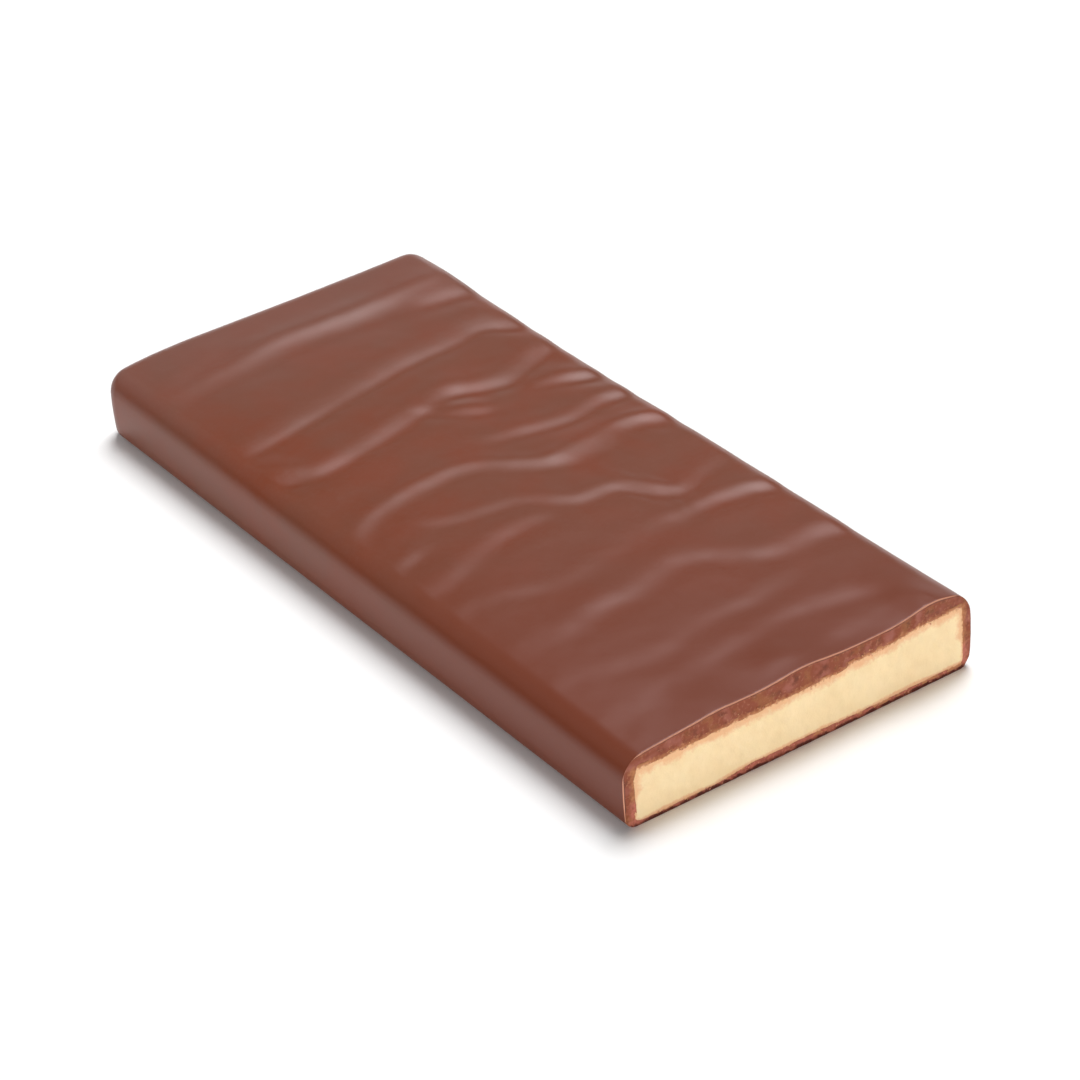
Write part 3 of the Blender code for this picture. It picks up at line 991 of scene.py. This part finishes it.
    def _open_cut(self, piece: bpy.types.Object) -> None:
        """Inset the face of the cut, carry it to the filling's line and sink the hollow."""
        select_plane(piece, CUT_X, largest=True)
        bpy.ops.mesh.inset(thickness=self.first_inset, depth=0.0, use_boundary=True)
        bm = bmesh.from_edit_mesh(piece.data)
        layer = bm.verts.layers.float.new("inward")
        inner = [vert for vert in bm.verts if vert.select]
        y = np.array([vert.co.y for vert in inner])
        z = np.array([vert.co.z for vert in inner])
        for vert, place in zip(inner, self.line.inner_place(y, z)):
            vert.co.y, vert.co.z = place
            vert[layer] = 1.0
        for edge in bm.edges:
            edge.select_set(False)
        for vert in inner:
            for edge in vert.link_edges:
                if edge.other_vert(vert)[layer] < 0.5:
                    edge.select_set(True)
        bmesh.update_edit_mesh(piece.data)
        bpy.ops.mesh.select_mode(type="EDGE")
        bpy.ops.mesh.subdivide(number_cuts=self.radial_cuts)
        select_plane(piece, CUT_X, largest=True)
        bpy.ops.mesh.extrude_region_move(
            TRANSFORM_OT_translate={"value": (-self.hollow_depth, 0.0, 0.0)})

    def _tear(self, piece: bpy.types.Object) -> None:
        """Give the face of the cut its raised rim and its torn, crumbly relief."""
        mesh = piece.data
        points = read_points(mesh)
        inward = np.empty(len(points), np.float32)
        mesh.attributes["inward"].data.foreach_get("value", inward)
        ring = points[:, 0] > CUT_X - TOUCH
        face = points[ring]
        top = FORM.height + FORM.top_rise(np.full(len(face), FORM.length / 2), face[:, 1])
        edge = np.minimum(np.minimum(top - face[:, 2], face[:, 2]),
                          FORM.width / 2 - np.abs(face[:, 1]))
        thin = smoothstep(0.0, 1.0, inward[ring])
        edge = np.maximum(edge, 0.0)
        rim = 1.0 - smoothstep(0.0, 1.0, edge / self.rim_width)
        coarse = grain(face, self.tear_size, octaves=4, seed=1.0)
        tear = self.tear_depth * coarse * (0.35 + 0.65 * thin) * (1.0 - rim)
        wave = 0.5 - 0.8 * grain(face, self.rim_wave_size, seed=2.0)
        sink = self.recess * (1.0 - rim) + self.rim_wave * rim * wave
        points[ring, 0] = np.minimum(face[:, 0] - sink + tear, CUT_X)
        write_points(mesh, points)
        # This distance from the skin places the painted highlight and painted shadow line of the rim
        depth = np.full(len(points), FAR)
        frayed = edge + self.fray * grain(face, self.fray_size, octaves=2, seed=6.0)
        rimless = np.maximum(smoothstep(*self.rimless_foot, face[:, 2]),
                             smoothstep(*self.rimless_side, face[:, 1]))
        depth[ring] = np.maximum(frayed, 0.0) + FAR * rimless
        write_mask(mesh, SKIN_DEPTH, depth)
        # Near the foot the band beside the filling widens, and with it the pink painted bounce light
        low = smoothstep(*self.widened_foot, points[:, 2])
        write_mask(mesh, PASTE_GAP, self.line.paste_gap(points) * (1.0 - 0.5 * low))

    def _dress(self, piece: bpy.types.Object) -> None:
        """Give the skin and the torn face their materials, and shade the piece smooth."""
        mesh = piece.data
        mesh.materials.append(self.finish.material())
        mesh.materials.append(self.cut_finish.material())
        inward = np.empty(len(mesh.vertices), np.float32)
        mesh.attributes["inward"].data.foreach_get("value", inward)
        for face in mesh.polygons:
            hollow = all(inward[corner] > 0.99 for corner in face.vertices)
            torn = face.center.x > CUT_X - 1.0 * MM and face.normal.x > 0.5
            face.material_index = int(hollow or torn)
        mesh.polygons.foreach_set("use_smooth", np.ones(len(mesh.polygons), bool))
        mesh.update()


@dataclass
class Filling:
    """The pale paste that runs through the bar, with the grain of its cut face."""

    line: CutLine
    recess: float = 0.26 * MM
    overlap: float = 0.45 * MM
    side_overlap: float = 0.2 * MM
    across_cuts: tuple[int, int] = (79, 1)
    height_cuts: int = 27
    back_wall: float = 2.0 * MM
    front_foot: float = 0.15 * MM
    back_foot: float = 0.5 * MM
    lump_depth: float = 0.07 * MM
    lump_size: float = 1.4 * MM
    widened_foot: tuple[float, float] = (5.0 * MM, 3.5 * MM)
    finish: CreamFilling = field(default_factory=CreamFilling)

    def build(self) -> bpy.types.Object:
        """Model the filling.

        Returns:
            The finished piece, dressed.
        """
        line = self.line
        low = (-FORM.length / 2 + self.back_wall, line.near * MM - self.side_overlap,
               line.bottom * MM)
        high = (CUT_X - self.recess, line.far * MM + self.side_overlap, line.top * MM)
        piece = add_box("filling_slab", low, high)
        bpy.ops.object.mode_set(mode="EDIT")
        front = high[0]
        span = high[1] - low[1]
        for cuts in self.across_cuts:
            least = 0.9 * span
            select_edges(piece, lambda a, b: min(a.x, b.x) > front - TOUCH
                         and abs(a.y - b.y) > least)
            bpy.ops.mesh.subdivide(number_cuts=cuts)
            span /= cuts + 1
        tall = 0.9 * (high[2] - low[2])
        select_edges(piece, lambda a, b: min(a.x, b.x) > front - TOUCH
                     and abs(a.z - b.z) > tall)
        bpy.ops.mesh.subdivide(number_cuts=self.height_cuts)
        bpy.ops.object.mode_set(mode="OBJECT")
        self._shape(piece, low, high)
        piece.data.materials.append(self.finish.material())
        for face in piece.data.polygons:
            face.use_smooth = face.normal.x > 0.5
        return piece

    def _shape(self, piece: bpy.types.Object, low: tuple[float, float, float],
               high: tuple[float, float, float]) -> None:
        """Carry the box to the filling's line and give the cut face its grain.

        Args:
            piece: The box, with its cut face divided.
            low: The box's lowest corner.
            high: The box's highest corner.
        """
        line = self.line
        mesh = piece.data
        points = read_points(mesh)
        level = (points[:, 2] - low[2]) / (high[2] - low[2])
        across = points[:, 1] / MM
        front = points[:, 0] > high[0] - TOUCH
        least = np.where(front, self.front_foot, self.back_foot)
        bottom = np.maximum(line.bottom_at(across) * MM - self.overlap, least)
        top = line.top_at(across) * MM + self.overlap
        points[:, 2] = bottom + (top - bottom) * level
        face = points[front]
        relief = grain(face, self.lump_size, octaves=4, seed=4.0)
        points[front, 0] += self.lump_depth * relief
        write_points(mesh, points)
        gap = np.full(len(points), -FAR)
        toe = smoothstep(*self.widened_foot, face[:, 2])
        gap[front] = line.paste_gap(face) * (1.0 + 1.5 * toe)
        write_mask(mesh, PASTE_GAP, gap)


@dataclass(frozen=True)
class Scatter:
    """A kind of crumb: how many lie along the cut, how large they are and where.

    Sizes are in metres. Heights over the line of the filling are in mm.
    """

    name: str
    count: int
    smallest: float
    largest: float
    above: float
    spread: float
    at_bottom: float
    seed: int


@dataclass
class Crumbs:
    """Crumbs that the knife left along the line between coating and filling."""

    line: CutLine
    scatter: Scatter
    variants: int = 4
    unevenness: float = 0.45
    end_gap: float = 0.3
    foot_low: float = -0.45
    foot_high: float = 0.2
    sunk: float = 0.17 * MM

    def build(self, material: bpy.types.Material) -> bpy.types.Object:
        """Model a few crumbs and strew copies of them along the cut.

        Args:
            material: The crumbs' finish.

        Returns:
            One piece that holds them all.
        """
        rng = random.Random(self.scatter.seed)
        shapes = [self._crumb(rng, number) for number in range(self.variants)]
        points: list[np.ndarray] = []
        faces: list[list[int]] = []
        for _ in range(self.scatter.count):
            corners, sides = rng.choice(shapes)
            size = rng.uniform(0.0, 1.0) ** 2 * (self.scatter.largest - self.scatter.smallest)
            size += self.scatter.smallest
            turn = np.array(Matrix.Rotation(rng.uniform(0.0, math.tau), 3, Vector(
                (rng.uniform(-1, 1), rng.uniform(-1, 1), rng.uniform(-1, 1)))))
            stretch = np.array([0.6, rng.uniform(0.8, 1.5), rng.uniform(0.6, 1.0)])
            start = sum(len(done) for done in points)
            points.append((corners @ turn.T) * stretch * size / 2 + self._spot(rng))
            faces.extend([[start + corner for corner in side] for side in sides])
        cloud = np.concatenate(points)
        cloud[:, 0] = np.minimum(cloud[:, 0], CUT_X)
        cloud[:, 2] = np.maximum(cloud[:, 2], 0.0)
        mesh = bpy.data.meshes.new(self.scatter.name)
        mesh.from_pydata(cloud.tolist(), [], faces)
        mesh.materials.append(material)
        piece = bpy.data.objects.new(self.scatter.name, mesh)
        bpy.context.scene.collection.objects.link(piece)
        for face in mesh.polygons:
            face.use_smooth = True
        return piece

    def _crumb(self, rng: random.Random, number: int) -> tuple[np.ndarray, list[list[int]]]:
        """Model one uneven crumb, one unit across, and give its points and faces."""
        bpy.ops.object.select_all(action="DESELECT")
        bpy.ops.mesh.primitive_ico_sphere_add(subdivisions=1, radius=1.0)
        crumb = bpy.context.object
        points = read_points(crumb.data)
        lumps = grain(points, 0.9, octaves=2, seed=number + 11.0)
        points *= (1.0 + self.unevenness * lumps)[:, None]
        faces = [list(face.vertices) for face in crumb.data.polygons]
        bpy.data.objects.remove(crumb)
        return points, faces

    def _spot(self, rng: random.Random) -> np.ndarray:
        """Choose a place for one crumb, on the cut."""
        line = self.line
        across = rng.uniform(line.near + self.end_gap, line.far - self.end_gap)
        if rng.random() < self.scatter.at_bottom:
            foot = float(line.bottom_at(np.array([across]))[0])
            height = foot + rng.uniform(self.foot_low, self.foot_high)
        else:
            edge = float(line.top_at(np.array([across]))[0])
            height = edge + self.scatter.above + rng.gauss(0.0, self.scatter.spread)
        return np.array([CUT_X - self.sunk, across * MM, height * MM])


# Studio


@dataclass(frozen=True)
class Softbox:
    """A soft light: where it stands seen from the bar, how large it is and its power."""

    name: str
    azimuth: float
    elevation: float
    distance: float
    width: float
    depth: float
    power: float

    def build(self) -> bpy.types.Object:
        """Hang the light and point it at the bar."""
        azimuth, elevation = math.radians(self.azimuth), math.radians(self.elevation)
        away = Vector((math.cos(azimuth) * math.cos(elevation),
                       math.sin(azimuth) * math.cos(elevation), math.sin(elevation)))
        data = bpy.data.lights.new(self.name, "AREA")
        data.shape = "RECTANGLE"
        data.size = self.width
        data.size_y = self.depth
        data.energy = self.power
        light = bpy.data.objects.new(self.name, data)
        light.location = away * self.distance
        light.rotation_euler = (-away).to_track_quat("-Z", "Y").to_euler()
        light.visible_camera = False
        bpy.context.scene.collection.objects.link(light)
        return light


@dataclass(frozen=True)
class Studio:
    """A pale floor, soft light and the camera at the photo's viewing angle."""

    azimuth: float = 56.515
    elevation: float = 32.257
    roll: float = -4.0
    distance: float = 498.1 * MM
    aim_right: float = -3.75 * MM
    aim_up: float = -0.13 * MM
    cut_from_aim: float = 62.66 * MM
    focal_length: float = 121.86
    film_width: float = 36.0
    floor_size: float = 3.0
    ambient: float = 0.10
    lights: tuple[Softbox, ...] = (
        Softbox("back_softbox", 125.5, 57.0, 2.2, 1.0, 0.7, 23.8),
        Softbox("low_softbox", 140.0, 7.0, 2.2, 2.2, 0.4, 4.5),
        Softbox("top_softbox", 125.0, 73.0, 2.2, 0.8, 0.6, 18.0),
        Softbox("front_softbox", -34.0, 8.0, 2.2, 1.6, 0.4, 28.5),
        Softbox("overhead_softbox", 131.0, 80.0, 2.2, 0.6, 0.6, 8.0),
        Softbox("left_softbox", 204.0, 33.0, 2.2, 2.4, 1.4, 7.0),
    )

    def build(self) -> None:
        """Set up the floor, the world, the lights and the camera."""
        self._floor()
        world = bpy.data.worlds.new("studio_world")
        world.use_nodes = True
        background = world.node_tree.nodes["Background"]
        background.inputs["Color"].default_value = (1.0, 1.0, 1.0, 1.0)
        background.inputs["Strength"].default_value = self.ambient
        bpy.context.scene.world = world
        for light in self.lights:
            light.build()
        self._camera()
        bpy.context.scene.view_settings.view_transform = "Standard"

    def _floor(self) -> None:
        """Lay the floor, which isn't part of the bar."""
        bpy.ops.object.select_all(action="DESELECT")
        bpy.ops.mesh.primitive_plane_add(size=self.floor_size)
        floor = bpy.context.object
        floor.name = "studio_floor"
        floor.data.materials.append(PaperFloor().material())

    def _camera(self) -> None:
        """Place the camera where the photograph was taken from."""
        azimuth, elevation = math.radians(self.azimuth), math.radians(self.elevation)
        back = Vector((math.sin(azimuth) * math.cos(elevation),
                       -math.cos(azimuth) * math.cos(elevation), math.sin(elevation)))
        right = (-back).cross(Vector((0.0, 0.0, 1.0))).normalized()
        up = right.cross(-back)
        turn = math.radians(self.roll)
        right, up = (math.cos(turn) * right + math.sin(turn) * up,
                     math.cos(turn) * up - math.sin(turn) * right)
        place = back * self.distance - right * self.aim_right - up * self.aim_up
        place.x += CUT_X - self.cut_from_aim
        data = bpy.data.cameras.new("camera")
        data.sensor_width = self.film_width
        data.lens = self.focal_length
        camera = bpy.data.objects.new("camera", data)
        facing = Matrix((right, up, back)).transposed().to_4x4()
        camera.matrix_world = Matrix.Translation(place) @ facing
        bpy.context.scene.collection.objects.link(camera)
        bpy.context.scene.camera = camera


def main() -> None:
    """Build the studio and the bar's pieces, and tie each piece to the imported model."""
    logging.basicConfig(level=logging.INFO, format="%(message)s")
    Studio().build()
    line = CutLine()
    coating = Coating(line).build()
    filling = Filling(line).build()
    torn = coating.data.materials[1]
    broken = Scatter("chocolate_crumbs", count=60, smallest=0.10 * MM, largest=0.30 * MM,
                     above=-0.05, spread=0.20, at_bottom=0.5, seed=7)
    chips = Crumbs(line, broken).build(torn)
    loose = Scatter("filling_crumbs", count=60, smallest=0.08 * MM, largest=0.26 * MM,
                    above=0.28, spread=0.30, at_bottom=0.2, seed=9)
    paste = Crumbs(line, loose).build(filling.data.materials[0])
    for piece, slot_name, nodes in ((coating, "milk_chocolate", ("chocolate_coating",)),
                                    (filling, "cream_filling", ("filling",)),
                                    (chips, "milk_chocolate", ()), (paste, "cream_filling", ())):
        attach(piece, "root")
        if nodes:
            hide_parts(*nodes)
        LOG.info("%s: %d faces", piece.name, len(piece.data.polygons))


if __name__ == "__main__":
    main()
